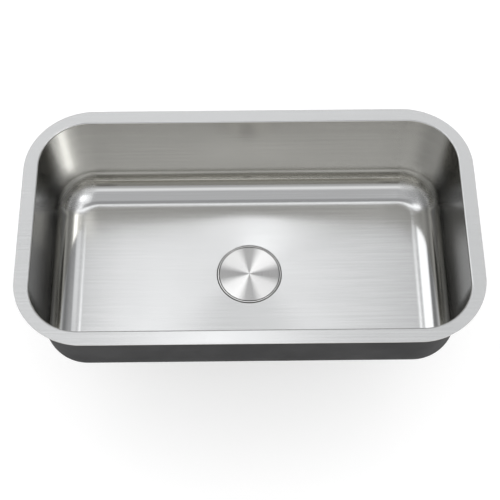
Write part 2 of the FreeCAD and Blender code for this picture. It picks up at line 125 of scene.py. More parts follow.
# a profile of straight runs whose corners (distance, height, radius, steps) are rounded by arcs: each arc
# point is the arc's middle plus a spoke turned evenly from start to end, which is also the normal
def bentProfile(corners, closed=False):
    points, normals = [], []
    count = len(corners)
    for i, corner in enumerate(corners):
        here = np.array(corner[:2], float)
        before = np.array(corners[i - 1][:2], float)
        after = np.array(corners[(i + 1) % count][:2], float)
        if not closed and i in (0, count - 1):
            way = unit(after - here) if i == 0 else unit(here - before)
            points.append(here[None])
            normals.append(np.array([[way[1], -way[0]]]))
            continue
        toBefore, toAfter = unit(before - here), unit(after - here)
        half = math.acos(float(np.clip(toBefore @ toAfter, -1, 1))) / 2
        radius, steps = corner[2], corner[3]
        middle = here + unit(toBefore + toAfter) * radius / math.sin(half)
        start, end = here + toBefore * radius / math.tan(half), here + toAfter * radius / math.tan(half)
        sweep = math.pi - 2 * half
        t = np.linspace(0, 1, steps + 1)[:, None]
        spokes = np.sin((1 - t) * sweep) * (start - middle) + np.sin(t * sweep) * (end - middle)
        spokes = spokes / math.sin(sweep)
        turn = toBefore[1] * toAfter[0] - toBefore[0] * toAfter[1]
        points.append(middle + spokes)
        normals.append(unit(spokes) * math.copysign(1, turn))
    return np.vstack(points), np.vstack(normals)


# a grid of points made into a mesh: the first parameter goes round and closes, the second runs along the
# profile and may close too; points at one place are joined, so a row that shrinks to a point ends in
# triangles, and the faces are turned the way the normals point, or outwards by the sign of their volume
def gridPiece(name, points, normals=None, closed=True, sharpFrom=35.0):
    nu, nv = points.shape[:2]
    index = np.arange(nu * nv).reshape(nu, nv)
    across = np.roll(index, -1, axis=0)
    last = nv if closed else nv - 1
    quads = np.stack([index, across, np.roll(across, -1, axis=1), np.roll(index, -1, axis=1)], axis=-1)
    quads = quads[:, :last].reshape(-1, 4)
    flat = points.reshape(-1, 3)
    corners = flat[quads]
    area = np.cross(corners[:, 2] - corners[:, 0], corners[:, 3] - corners[:, 1])
    facing = corners.mean(axis=1) if normals is None else normals.reshape(-1, 3)[quads[:, 0]]
    order = [3, 2, 1, 0] if (area * facing).sum() < 0 else [0, 1, 2, 3]
    grains = np.round(flat / sameSpot).astype(np.int64)
    first, same = np.unique(grains, axis=0, return_index=True, return_inverse=True)[1:]
    faces = same.reshape(-1)[quads][:, order]
    again = faces == np.roll(faces, 1, axis=1)
    whole, thin = again.sum(axis=1) == 0, again.sum(axis=1) == 1
    mesh = bpy.data.meshes.new(name)
    threes = faces[thin][~again[thin]].reshape(-1, 3)
    mesh.from_pydata(flat[first].tolist(), [], faces[whole].tolist() + threes.tolist())
    mesh.polygons.foreach_set("use_smooth", np.ones(len(mesh.polygons), bool))
    if normals is None:
        mesh.set_sharp_from_angle(angle=math.radians(sharpFrom))
    else:
        mesh.normals_split_custom_set_from_vertices(unit(normals.reshape(-1, 3)[first]).tolist())
    mesh.update()
    return placed(name, mesh)


# stretches of a grid, each its places and its normals, put one after the other along the profile
def joinRows(stretches):
    return [np.concatenate(part, axis=1) for part in zip(*stretches)]


def placed(name, mesh):
    piece = bpy.data.objects.new(name, mesh)
    bpy.context.scene.collection.objects.link(piece)
    return piece


# a node's name in the scene's own style
def spoken(node):
    first, *others = node.split("_")
    return first + "".join(word.capitalize() for word in others)


# what every piece is told: the CAD node it stands for, whose body it rides on, and its finish
def settle(piece, node, finish):
    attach(piece, cadNodes[node]["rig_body"])
    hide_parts(node)
    piece.data.materials.clear()
    piece.data.materials.append(finishes[finish])
    return piece


# a profile turned about the upright axis: each point's distance along the spoke of each angle, at its height
def turnedGrid(points, normals, angles):
    spoke = np.stack([np.cos(angles), np.sin(angles), 0 * angles], axis=-1)[:, None]
    place = points[None, :, :1] * spoke + points[None, :, 1:] * upward
    facing = normals[None, :, :1] * spoke + normals[None, :, 1:] * upward
    return place, facing


# a section turned into a ring or, where both its ends lie on the axis, into a solid; its normals are turned
# outwards by the sign of the section's area
def turnedPiece(name, corners, steps=128, centre=(0.0, 0.0)):
    solidEnds = corners[0][0] == 0 and corners[-1][0] == 0
    points, normals = bentProfile(corners, not solidEnds)
    ahead = np.roll(points, -1, axis=0)
    if (points[:, 0] * ahead[:, 1] - ahead[:, 0] * points[:, 1]).sum() < 0:
        normals = -normals
    place, facing = turnedGrid(points, normals, np.linspace(0, 2 * math.pi, steps, endpoint=False))
    return gridPiece(name, place + np.array([*centre, 0.0]), facing, not solidEnds)


# rows carried round an outline given by angles: a row is a radius, one for all or one an angle, and a height
def outlinePiece(name, angles, rows):
    rings = [np.stack([radius * np.cos(angles), radius * np.sin(angles), height + 0 * angles], axis=-1)
             for radius, height in rows]
    return gridPiece(name, np.stack(rings, axis=1))


# how far rays go from their starts to the edge of a rectangle with rounded corners: the nearer straight
# side, or where that lies beside a corner, the far crossing of the corner's circle
def outlineReach(half, corner, starts, ways):
    gap = (half - np.abs(starts)) / np.maximum(np.abs(ways), tiny)
    reach = gap.min(axis=-1)
    hit = np.abs(starts + ways * reach[..., None])
    offset = np.abs(starts) - (half - corner)
    b = (offset * np.abs(ways)).sum(axis=-1)
    root = np.sqrt(np.maximum(b * b - (offset ** 2).sum(axis=-1) + corner ** 2, 0))
    return np.where((hit > half - corner).all(axis=-1), root - b, reach)


# the section of a round bar or plate; a bend, here and below, is its radius and its steps
def barSection(radius, low, high, foot, top):
    return [(0, low, 0, 0), (radius, low, *foot), (radius, high, *top), (0, high, 0, 0)]


# a turned node's greatest radius and its lowest and highest point
def turnedBox(node):
    low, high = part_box(node)
    return high.x, low.z, high.z


# edges rounded by a small bevel that keeps the faces beside it flat
def softEdges(piece, width, sharpFrom=30.0, segments=3):
    bevel = piece.modifiers.new("softEdges", "BEVEL")
    bevel.width = width
    bevel.segments = segments
    bevel.limit_method = "ANGLE"
    bevel.angle_limit = math.radians(sharpFrom)
    bevel.harden_normals = True
    return piece


bowlLow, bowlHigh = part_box("bowl")
bowlShape = {
    "length": bowlHigh.x - bowlLow.x, "width": bowlHigh.y - bowlLow.y, "rimCorner": 0.116, "rimLand": 0.022,
    "openingCorner": 0.085, "sheet": 0.0012, "rimBend": 0.003, "draft": 4.0, "cove": 0.052, "depth": 0.192,
    "fall": 0.004, "fallEasing": 0.3, "recessEdge": 0.0574, "recessFoot": 0.0569, "recessDepth": 0.006,
    "recessBend": 0.0015, "recessLand": 0.0021, "drainHole": 0.045, "edge": 0.0003,
    "longSteps": 36, "shortSteps": 12, "cornerSteps": 22, "bendSteps": 8, "wallSteps": 10, "coveSteps": 30,
    "floorSteps": 26, "rimSteps": 3, "edgeSteps": 3, "recessSteps": 6,
}


# half sizes of the rectangle of corner centres that the opening, the walls and the floor's edge go round
def cornerCentres(v):
    return np.array([v["length"], v["width"]]) / 2 - v["rimLand"] - v["openingCorner"]


# the inside of the rim's bend, the wall and the cove, as distance from a corner's upright axis and height
def wallCorners(v):
    draft = math.radians(v["draft"])
    top = v["openingCorner"] - v["rimBend"] * math.tan((math.pi / 2 - draft) / 2)
    low = v["fall"] - v["depth"]
    foot = top + low * math.tan(draft)
    floorEdge = foot - v["cove"] * math.tan((math.pi / 2 - draft) / 2)
    return [(v["openingCorner"] + v["rimLand"], 0, 0, 0), (top, 0, v["rimBend"], v["bendSteps"]),
            (foot, low, v["cove"], v["coveSteps"]), (floorEdge, low, 0, 0)]


def floorEdgeRadius(v):
    return wallCorners(v)[-1][0]


# the path round the opening: a ray for each point, from a corner's centre or a side's inner line, pointing
# outwards; along the sides the rays are spaced so that the floor's lines to the drain turn evenly
def openingPath(v):
    cx, cy = cornerCentres(v)
    edge = floorEdgeRadius(v)
    quarter = np.linspace(0, math.pi / 2, v["cornerSteps"] + 1)[:-1]
    starts, ways = [], []
    for side in range(4):
        turn = side * math.pi / 2
        out = np.array([math.cos(turn), math.sin(turn)])
        along = np.array([-out[1], out[0]])
        far, reach, steps = (cx, cy, v["shortSteps"]) if side % 2 == 0 else (cy, cx, v["longSteps"])
        line = (far + edge) * np.tan(np.linspace(-1, 1, steps + 1)[:-1] * math.atan(reach / (far + edge)))
        starts += [out * far + along * line[:, None], np.tile(out * far + along * reach, (len(quarter), 1))]
        bend = np.stack([np.cos(turn + quarter), np.sin(turn + quarter)], axis=-1)
        ways += [np.tile(out, (len(line), 1)), bend]
    return np.vstack(starts), np.vstack(ways)


# the section from the rim's bend to the floor's edge: bend arc, evenly divided wall, cove arc
def wallSection(v):
    points, normals = bentProfile(wallCorners(v))
    points, normals = points[1:-1], normals[1:-1]
    if normals[0, 1] < 0:
        normals = -normals
    split = v["bendSteps"] + 1
    share = np.linspace(0, 1, v["wallSteps"] + 1)[1:-1, None]
    wall = points[split - 1] + (points[split] - points[split - 1]) * share
    points = np.vstack([points[:split], wall, points[split:]])
    normals = np.vstack([normals[:split], normals[split - 1] + 0 * wall, normals[split:]])
    return points, normals


# the floor falls gently at first from the cove's edge and then evenly along straight lines to the drain's
# mouth: a parabola up to the easing share, then its tangent; this gives the height and the slope at a
# distance from the axis
def floorFall(v, reach, distance):
    mouth = v["recessEdge"] + v["recessLand"]
    ease = v["fallEasing"]
    t = np.clip((reach - distance) / (reach - mouth), 0, 1)
    fallen = np.where(t < ease, t * t / (2 * ease), t - ease / 2) / (1 - ease / 2)
    slope = np.minimum(t / ease, 1) / (1 - ease / 2) * v["fall"] / (reach - mouth)
    return v["fall"] * (1 - fallen) - v["depth"], slope


# how far the floor reaches from the drain's axis in each direction
def floorReach(v, ways):
    edge = floorEdgeRadius(v)
    return outlineReach(cornerCentres(v) + edge, edge, np.zeros_like(ways), ways)


# floor points on each spoke at shares of the way from the cove's edge to a circle about the drain
def floorRows(v, floorEdge, shares, circle, drop):
    ways = unit(floorEdge)
    reach = np.linalg.norm(floorEdge, axis=-1)
    distance = reach[:, None] + (circle - reach[:, None]) * shares
    height, slope = floorFall(v, reach[:, None], distance)
    spoke = raised(ways)[:, None]
    place = spoke * distance[..., None] + upward * (height - drop)[..., None]
    return place, unit(upward - spoke * slope[..., None])


# section points carried round the path: distance along each ray, at the point's height
def carried(starts, ways, points, normals):
    out = raised(ways)[:, None]
    place = raised(starts)[:, None] + out * points[None, :, :1] + upward * points[None, :, 1:]
    return place, out * normals[None, :, :1] + upward * normals[None, :, 1:] + 0 * place


# one face of the pressed sheet: sheared edge, flat rim, bend, wall and cove, floor and recess; the lower
# face lies a drop along the normals
def sheetFace(v, starts, ways, drop):
    side = -1 if drop else 1
    edge = v["edge"]
    reach = outlineReach(np.array([v["length"], v["width"]]) / 2, v["rimCorner"], starts, ways)[:, None]
    angle = np.linspace(0, math.pi / 2, v["edgeSteps"] + 1)[:-1]
    share = np.linspace(1, 0, v["rimSteps"] + 1)[:-1]
    inner = v["openingCorner"] + (reach - edge - v["openingCorner"]) * share
    distance = np.concatenate([reach - edge + edge * np.cos(angle), inner], axis=1)[..., None]
    height = np.concatenate([edge * np.sin(angle) - edge, 0 * inner[0]])[:, None] * side - drop
    lean = np.concatenate([angle, 0 * inner[0] + math.pi / 2])[:, None]
    out = raised(ways)[:, None]
    place = raised(starts)[:, None] + out * distance + upward * height
    parts = [(place, out * np.cos(lean) + upward * side * np.sin(lean))]
    points, normals = wallSection(v)
    parts.append(carried(starts, ways, points - normals * drop, normals * side))
    floorEdge = starts + ways * floorEdgeRadius(v)
    mouth = v["recessEdge"] + v["recessLand"]
    place, facing = floorRows(v, floorEdge, np.linspace(0, 1, v["floorSteps"] + 1)[1:], mouth, drop)
    parts.append((place, facing * side))
    low = -v["depth"] - v["recessDepth"]
    points, normals = bentProfile([
        (mouth, -v["depth"], 0, 0), (v["recessEdge"], -v["depth"], v["recessBend"], v["recessSteps"]),
        (v["recessFoot"], low, v["recessBend"], v["recessSteps"]), (v["drainHole"], low, 0, 0)])
    normals = normals * math.copysign(1, normals[0, 1])
    parts.append(carried(0 * starts, unit(floorEdge), (points - normals * drop)[1:], normals[1:] * side))
    return joinRows(parts)


# the sheet's upper face and, run backwards, its lower face, joined at the sheared edge and the drain hole
def makeBowl(v):
    starts, ways = openingPath(v)
    top = sheetFace(v, starts, ways, 0.0)
    low = [rows[:, ::-1] for rows in sheetFace(v, starts, ways, v["sheet"])]
    return gridPiece("bowlSheet", *joinRows([top, low]))


coatingShape = {
    "thickness": 0.0008, "top": -0.010, "feather": 0.005, "featherSteps": 6, "thinnest": 0.0001,
    "clear": 0.001, "hole": 0.076, "floorSteps": 24,
}


# a sprayed skin on the outside of the walls and floor: its inner face lies on the steel and its outer face
# stands off by the coat's thickness, which thins out by a sine to the feathered edge under the rim
def makeCoating(v, bowl):
    starts, ways = openingPath(bowl)
    points, normals = wallSection(bowl)
    floorEdge = starts + ways * floorEdgeRadius(bowl)
    share = np.linspace(0, 1, v["featherSteps"] + 1)
    heights = v["top"] - v["feather"] * share ** 2
    below = points[:, 1] < heights[-1] - v["clear"]
    wall = np.stack([np.interp(heights, points[::-1, 1], points[::-1, 0]), heights], axis=-1)
    section = np.vstack([wall, points[below]])
    lean = np.vstack([normals[bowl["bendSteps"] + 1] + 0 * wall, normals[below]])
    coat = np.full(len(section), v["thickness"])
    coat[:len(wall)] = v["thinnest"] + (v["thickness"] - v["thinnest"]) * np.sin(share * math.pi / 2)
    shares = np.linspace(0, 1, v["floorSteps"] + 1)[1:]
    faces = []
    for side in (1, -1):
        drop = bowl["sheet"] + (coat if side > 0 else 0 * coat)
        place, facing = floorRows(bowl, floorEdge, shares, v["hole"], drop[-1])
        outside = carried(starts, ways, section - lean * drop[:, None], -lean * side)
        rows = joinRows([outside, (place, -facing * side)])
        faces.append(rows if side > 0 else [part[:, ::-1] for part in rows])
    return gridPiece("coatingSkin", *joinRows(faces))


# a node in a tree: each input is given as a value or as another node's output
def addNode(tree, kind, inputs, **settings):
    node = tree.nodes.new("ShaderNode" + kind)
    for name, value in settings.items():
        setattr(node, name, value)
    for name, value in inputs.items():
        if isinstance(value, bpy.types.NodeSocket):
            tree.links.new(value, node.inputs[name])
        else:
            node.inputs[name].default_value = value
    return node


def addGroup(tree, group, **inputs):
    return addNode(tree, "Group", inputs, node_tree=group).outputs


def addNoise(tree, spot, scale, detail, rough=0.5):
    inputs = {"Vector": spot, "Scale": scale, "Detail": detail, "Roughness": rough}
    return addNode(tree, "TexNoise", inputs).outputs[0]


def addMath(tree, operation, first, second=0.0):
    return addNode(tree, "Math", {0: first, 1: second}, operation=operation).outputs[0]


def addVector(tree, operation, first, second):
    return addNode(tree, "VectorMath", {0: first, 1: second}, operation=operation).outputs[0]


def addScaled(tree, vector, scale):
    return addNode(tree, "VectorMath", {0: vector, "Scale": scale}, operation="SCALE").outputs[0]


# a vector's distance from the upright axis
def addRadius(tree, vector):
    flat = addVector(tree, "MULTIPLY", vector, (1, 1, 0))
    return addNode(tree, "VectorMath", {0: flat}, operation="LENGTH").outputs["Value"]


# a value carried from one range to another, softly at both ends
def addEase(tree, value, low, high, toLow=0.0, toHigh=1.0):
    inputs = {"Value": value, "From Min": low, "From Max": high, "To Min": toLow, "To Max": toHigh}
    return addNode(tree, "MapRange", inputs, interpolation_type="SMOOTHSTEP").outputs["Result"]


# a mix of two values or, where they are colours, of two colours
def addMix(tree, share, first, second):
    if isinstance(first, tuple):
        inputs = {0: share, 6: (*first, 1), 7: (*second, 1)}
        return addNode(tree, "Mix", inputs, data_type="RGBA").outputs[2]
    return addNode(tree, "Mix", {0: share, 2: first, 3: second}).outputs[0]


# a node group: inputs are vectors or numbers by label and outputs are labels of numbers, and work gets the
# tree and its inputs and gives the output sockets by label
def makeGroup(name, inputs, outputs, work):
    tree = bpy.data.node_groups.new(name, "ShaderNodeTree")
    for label, value in inputs.items():
        kind = "NodeSocketVector" if isinstance(value, tuple) else "NodeSocketFloat"
        tree.interface.new_socket(label, in_out="INPUT", socket_type=kind).default_value = value
    for label in outputs:
        tree.interface.new_socket(label, in_out="OUTPUT", socket_type="NodeSocketFloat")
    results = work(tree, tree.nodes.new("NodeGroupInput").outputs)
    ends = tree.nodes.new("NodeGroupOutput").inputs
    for label, socket in results.items():
        tree.links.new(socket, ends[label])
    return tree


noiseShapes = {
    "coarse": {"scale": 0.35, "detail": 1.0}, "fine": {"scale": 1.0, "detail": 2.0, "rough": 0.7},
    "lathe": {"scale": 1.0, "detail": 3.0, "rough": 0.7}, "drift": {"scale": 25.0, "detail": 0.0},
    "cloud": {"scale": 14.0, "detail": 3.0}, "grain": {"scale": 1.0, "detail": 2.0},
}
# the stretch of each noise, and of the share that makes a painted sheen wedge, that is spread over the whole
# range
spreads = {
    "brush": (0.75, 1.25), "lathe": (0.3, 0.7), "cloud": (0.3, 0.7), "grain": (0.25, 0.75),
    "wedge": (0.2, 0.95),
}


# brush lines: noise stretched by a size for each axis, coarse and fine lines together
def lineWork(tree, ins):
    spot = addVector(tree, "DIVIDE", ins["Spot"], ins["Size"])
    coarse, fine = (addNoise(tree, spot, **noiseShapes[kind]) for kind in ("coarse", "fine"))
    return {"Lines": addEase(tree, addMath(tree, "ADD", coarse, fine), *spreads["brush"])}


# lathe lines: noise along the distance from the upright axis and the height, nearly even round it
def turnedWork(tree, ins):
    height = addNode(tree, "SeparateXYZ", {0: ins["Spot"]}).outputs["Z"]
    lengths = addRadius(tree, ins["Spot"]), height
    across, up = (addMath(tree, "DIVIDE", length, ins["Width"]) for length in lengths)
    drift = addNoise(tree, ins["Spot"], **noiseShapes["drift"])
    spot = addNode(tree, "CombineXYZ", {0: across, 1: up, 2: drift}).outputs[0]
    return {"Lines": addEase(tree, addNoise(tree, spot, **noiseShapes["lathe"]), *spreads["lathe"])}


# a surface's wide clouds and its fine grain
def grainWork(tree, ins):
    scaled = addScaled(tree, ins["Spot"], addMath(tree, "DIVIDE", 1.0, ins["Size"]))
    cloud = addNoise(tree, ins["Spot"], **noiseShapes["cloud"])
    grain = addNoise(tree, scaled, **noiseShapes["grain"])
    return {"Cloud": addEase(tree, cloud, *spreads["cloud"]),
            "Grain": addEase(tree, grain, *spreads["grain"])}


# where each mask starts and ends, as parts of the unit vector that says which way the surface faces
facingValues = {
    "level": (0.3, 0.85), "bend": (0.08, 0.3), "flat": (0.97, 0.998), "end": (0.75, 0.99),
    "corner": (0.0, 0.12),
}


# from the way a surface faces: how level it is, where it is flat or upright rather than bent, where the bend
# turns a corner, and where it is an upright end, the mask that paints shade on the bowl's ends
def facingWork(tree, ins, v=facingValues):
    facing = addNode(tree, "SeparateXYZ", {0: ins["Facing"]}).outputs
    across, along, up = (addMath(tree, "ABSOLUTE", facing[axis]) for axis in "XYZ")
    level = addEase(tree, up, *v["level"])
    bend = addEase(tree, up, *v["bend"])
    bent = addMath(tree, "MULTIPLY", bend, addEase(tree, up, *v["flat"], 1.0, 0.0))
    corner = addEase(tree, addMath(tree, "MULTIPLY", across, along), *v["corner"])
    upright = addMath(tree, "SUBTRACT", 1.0, level)
    return {"Level": level, "Flat": addMath(tree, "SUBTRACT", 1.0, bent),
            "Corner": addMath(tree, "MULTIPLY", corner, bend),
            "Side": addMath(tree, "MULTIPLY", addEase(tree, across, *v["end"]), upright)}


# the painted sheen of spun metal, a painted highlight in the lid's colour: wedges between the plate's axes,
# one in each quarter, from twice the product of the two distances from the axes over the square of the
# distance from the middle
def paintedSheenWork(tree, ins, least=0.000001):
    way = addNode(tree, "SeparateXYZ", {0: ins["Spot"]}).outputs
    square = [addMath(tree, "MULTIPLY", way[axis], way[axis]) for axis in "XY"]
    whole = addMath(tree, "MAXIMUM", addMath(tree, "ADD", *square), least)
    product = addMath(tree, "ABSOLUTE", addMath(tree, "MULTIPLY", way["X"], way["Y"]))
    share = addMath(tree, "DIVIDE", addMath(tree, "MULTIPLY", product, 2.0), whole)
    return {"Wedge": addEase(tree, share, *spreads["wedge"])}


spot = {"Spot": (0.0, 0.0, 0.0)}
brushLines = makeGroup("brushLines", {**spot, "Size": (0.1, 0.001, 0.001)}, ["Lines"], lineWork)
turnedLines = makeGroup("turnedLines", {**spot, "Width": 0.0006}, ["Lines"], turnedWork)
cloudsAndGrain = makeGroup("cloudsAndGrain", {**spot, "Size": 0.001}, ["Cloud", "Grain"], grainWork)
masks = ["Level", "Flat", "Corner", "Side"]
facingMasks = makeGroup("facingMasks", {"Facing": (0.0, 0.0, 0.0)}, masks, facingWork)
paintedSheen = makeGroup("paintedSheen", spot, ["Wedge"], paintedSheenWork)


# a principled surface: constant values go on its own sockets, and paint links what varies over the surface
def makeFinish(name, values, paint):
    material = bpy.data.materials.new(name)
    material.use_nodes = True
    tree = material.node_tree
    shader = tree.nodes["Principled BSDF"]
    for socket, value in values.items():
        shader.inputs[socket].default_value = value
    place = tree.nodes.new("ShaderNodeTexCoord").outputs
    for socket, link in paint(tree, place).items():
        tree.links.new(link, shader.inputs[socket])
    return material


def addBump(tree, height, depth):
    return addNode(tree, "Bump", {"Height": height, "Distance": depth, "Strength": 1.0}).outputs[0]


# two values added in shares that make one
def addBlend(tree, share, first, second):
    first, second = addMath(tree, "MULTIPLY", first, share), addMath(tree, "MULTIPLY", second, 1 - share)
    return addMath(tree, "ADD", first, second)


# the end shade is the share of colour kept on the bowl's upright ends under painted shade, and the wall tint
# is a painted warmer reflection tint on the walls
brushedValues = {
    "flatLines": (0.12, 0.0011, 0.0011), "wallLines": (0.2, 0.2, 0.0011), "dark": (0.65, 0.65, 0.65),
    "bright": (0.68, 0.68, 0.68), "paintedWallTint": (1.0, 0.98, 0.91), "flatTint": (0.99, 1.0, 1.01),
    "paintedEndShade": 0.13, "smooth": 0.09, "rough": 0.13, "flatRough": 0.11, "cornerRough": 0.16,
    "lineShare": 0.7, "depth": 0.000003,
}


# satin steel: lines run along the sink on the rim and the floor and level round the walls, flat faces and the
# turns of the bend are duller than the bend itself, the upright ends of the bowl are painted darker as
# painted shade, and the walls carry a warmer painted reflection tint than the level faces
def paintBrushed(tree, place, v=brushedValues):
    masks = addGroup(tree, facingMasks, Facing=place["Normal"])
    flat = addGroup(tree, brushLines, Spot=place["Object"], Size=v["flatLines"])["Lines"]
    wall = addGroup(tree, brushLines, Spot=place["Object"], Size=v["wallLines"])["Lines"]
    cloud = addGroup(tree, cloudsAndGrain, Spot=place["Object"])["Cloud"]
    lines = addMix(tree, masks["Level"], wall, flat)
    # painted shade: the upright ends' steel colour is scaled down to the end shade, standing in for the dark
    # they reflect
    paintedLightTone = addMath(tree, "SUBTRACT", 1.0, addMath(tree, "MULTIPLY", masks["Side"], 1 - v["paintedEndShade"]))
    # painted reflection tint: upright faces take a warmer colour than level ones
    tint = addMix(tree, masks["Level"], v["paintedWallTint"], v["flatTint"])
    colour = addVector(tree, "MULTIPLY", addMix(tree, lines, v["dark"], v["bright"]), tint)
    rough = addMath(tree, "MULTIPLY", masks["Flat"], v["flatRough"])
    rough = addMath(tree, "ADD", rough, addMath(tree, "MULTIPLY", masks["Corner"], v["cornerRough"]))
    worn = addBlend(tree, v["lineShare"], lines, cloud)
    rough = addMath(tree, "ADD", rough, addMix(tree, worn, v["smooth"], v["rough"]))
    return {"Base Color": addScaled(tree, colour, paintedLightTone), "Roughness": rough,
            "Normal": addBump(tree, lines, v["depth"])}


# the lid's dark and bright colours span its painted sheen wedges, dark on the axes and bright on the
# diagonals, and its lathe lines
turnedValues = {
    "width": 0.0007, "dark": (0.34, 0.34, 0.34), "bright": (0.86, 0.86, 0.86), "paintedSheenShare": 0.85,
    "smooth": 0.18, "rough": 0.26, "depth": 0.000003,
}


# the lid's spun steel: lathe lines, the wedges of a painted sheen in its colour, and shine drawn out across
# the lines
def paintTurned(tree, place, v=turnedValues):
    lines = addGroup(tree, turnedLines, Spot=place["Object"], Width=v["width"])["Lines"]
    wedge = addGroup(tree, paintedSheen, Spot=place["Object"])["Wedge"]
    # painted sheen: the colour is mostly the painted highlight wedges, with a share of the lathe lines
    paintedLightTone = addBlend(tree, v["paintedSheenShare"], wedge, lines)
    return {"Base Color": addMix(tree, paintedLightTone, v["dark"], v["bright"]),
            "Roughness": addMix(tree, lines, v["smooth"], v["rough"]),
            "Normal": addBump(tree, lines, v["depth"]),
            "Tangent": addNode(tree, "Tangent", {}, direction_type="RADIAL", axis="Z").outputs[0]}


# polished or turned bright metals: faint lathe lines and handled clouds
def paintBright(v):
    def paint(tree, place):
        lines = addGroup(tree, turnedLines, Spot=place["Object"], Width=v["width"])["Lines"]
        cloud = addGroup(tree, cloudsAndGrain, Spot=place["Object"])["Cloud"]
        return {"Base Color": addMix(tree, cloud, v["dark"], v["bright"]),
                "Roughness": addMix(tree, addMath(tree, "MULTIPLY", lines, cloud), v["smooth"], v["rough"]),
                "Normal": addBump(tree, lines, v["depth"])}
    return paint


# sprayed, moulded or pressed stuff: a grain in the surface and clouds in its colour and gloss
def paintPlain(v):
    def paint(tree, place):
        mix = addGroup(tree, cloudsAndGrain, Spot=place["Object"], Size=v["grain"])
        tint = addBlend(tree, 0.5, mix["Cloud"], mix["Grain"])
        return {"Base Color": addMix(tree, tint, v["dark"], v["bright"]),
                "Roughness": addMix(tree, mix["Cloud"], v["smooth"], v["rough"]),
                "Normal": addBump(tree, mix["Grain"], v["depth"])}
    return paint


metal = {"Metallic": 1.0}
spunMetal = {**metal, "Anisotropic": 0.9, "Anisotropic Rotation": 0.25}
polished = {
    "width": 0.0009, "dark": (0.56, 0.56, 0.56), "bright": (0.63, 0.63, 0.63),
    "smooth": 0.06, "rough": 0.14, "depth": 0.000003,
}
chrome = {
    "width": 0.002, "dark": (0.62, 0.62, 0.635), "bright": (0.69, 0.69, 0.70),
    "smooth": 0.03, "rough": 0.08, "depth": 0.000002,
}
brass = {
    "width": 0.0008, "dark": (0.55, 0.38, 0.17), "bright": (0.66, 0.48, 0.23),
    "smooth": 0.22, "rough": 0.36, "depth": 0.00001,
}
coating = {
    "grain": 0.0015, "dark": (0.022, 0.022, 0.023), "bright": (0.032, 0.032, 0.033),
    "smooth": 0.5, "rough": 0.62, "depth": 0.00003,
}
rubber = {
    "grain": 0.0012, "dark": (0.022, 0.022, 0.022), "bright": (0.036, 0.036, 0.036),
    "smooth": 0.55, "rough": 0.7, "depth": 0.00004,
}
fibre = {
    "grain": 0.0009, "dark": (0.28, 0.19, 0.12), "bright": (0.42, 0.31, 0.20),
    "smooth": 0.75, "rough": 0.9, "depth": 0.00006,
}
plastic = {
    "grain": 0.002, "dark": (0.70, 0.70, 0.68), "bright": (0.78, 0.78, 0.76),
    "smooth": 0.35, "rough": 0.5, "depth": 0.00001,
}
finishes = {
    "brushed_steel": makeFinish("brushedSteel", metal, paintBrushed),
    "turned_steel": makeFinish("turnedSteel", spunMetal, paintTurned),
    "polished_steel": makeFinish("polishedSteel", metal, paintBright(polished)),
    "bright_chrome": makeFinish("brightChrome", metal, paintBright(chrome)),
    "plain_brass": makeFinish("plainBrass", metal, paintBright(brass)),
    "dark_coating": makeFinish("darkCoating", {"IOR": 1.3, "Specular IOR Level": 0.3}, paintPlain(coating)),
    "black_rubber": makeFinish("blackRubber", {}, paintPlain(rubber)),
    "pressed_fibre": makeFinish("pressedFibre", {}, paintPlain(fibre)),
    "white_plastic": makeFinish("whitePlastic", {}, paintPlain(plastic)),
}
print("finishes made:", len(finishes))

strainerShape = {
    "lip": 0.0023, "lipBends": 3, "dish": 0.0042, "flange": 0.0052, "cup": 0.0436, "wall": 0.0018,
    "cupBottom": 0.0564, "edgeSteps": 2, "bendSteps": 8, "cupSteps": 12, "slopeParts": 50,
    "cupBend": 0.006, "throat": 0.005, "outlet": 0.019, "outletFall": 0.006, "spigot": 0.0239, "edge": 0.0002,
    "threadTop": 0.0118, "threadFoot": 0.0489, "pitch": 0.002309, "threadDepth": 0.0007, "rowsPerTurn": 8,
}


# the thread's depth below its crests: a rounded V that falls one pitch in a turn and fades out at both ends
def threadDepth(v, top, height, angle):
    turns = (top - height) / v["pitch"] + angle / (2 * math.pi)
    length = v["threadFoot"] - v["threadTop"]
    fade = np.clip((top - height) / v["pitch"], 0, 1) * np.clip((height - top + length) / v["pitch"], 0, 1)
    return v["threadDepth"] * fade * (0.5 - 0.5 * np.cos(2 * math.pi * turns))


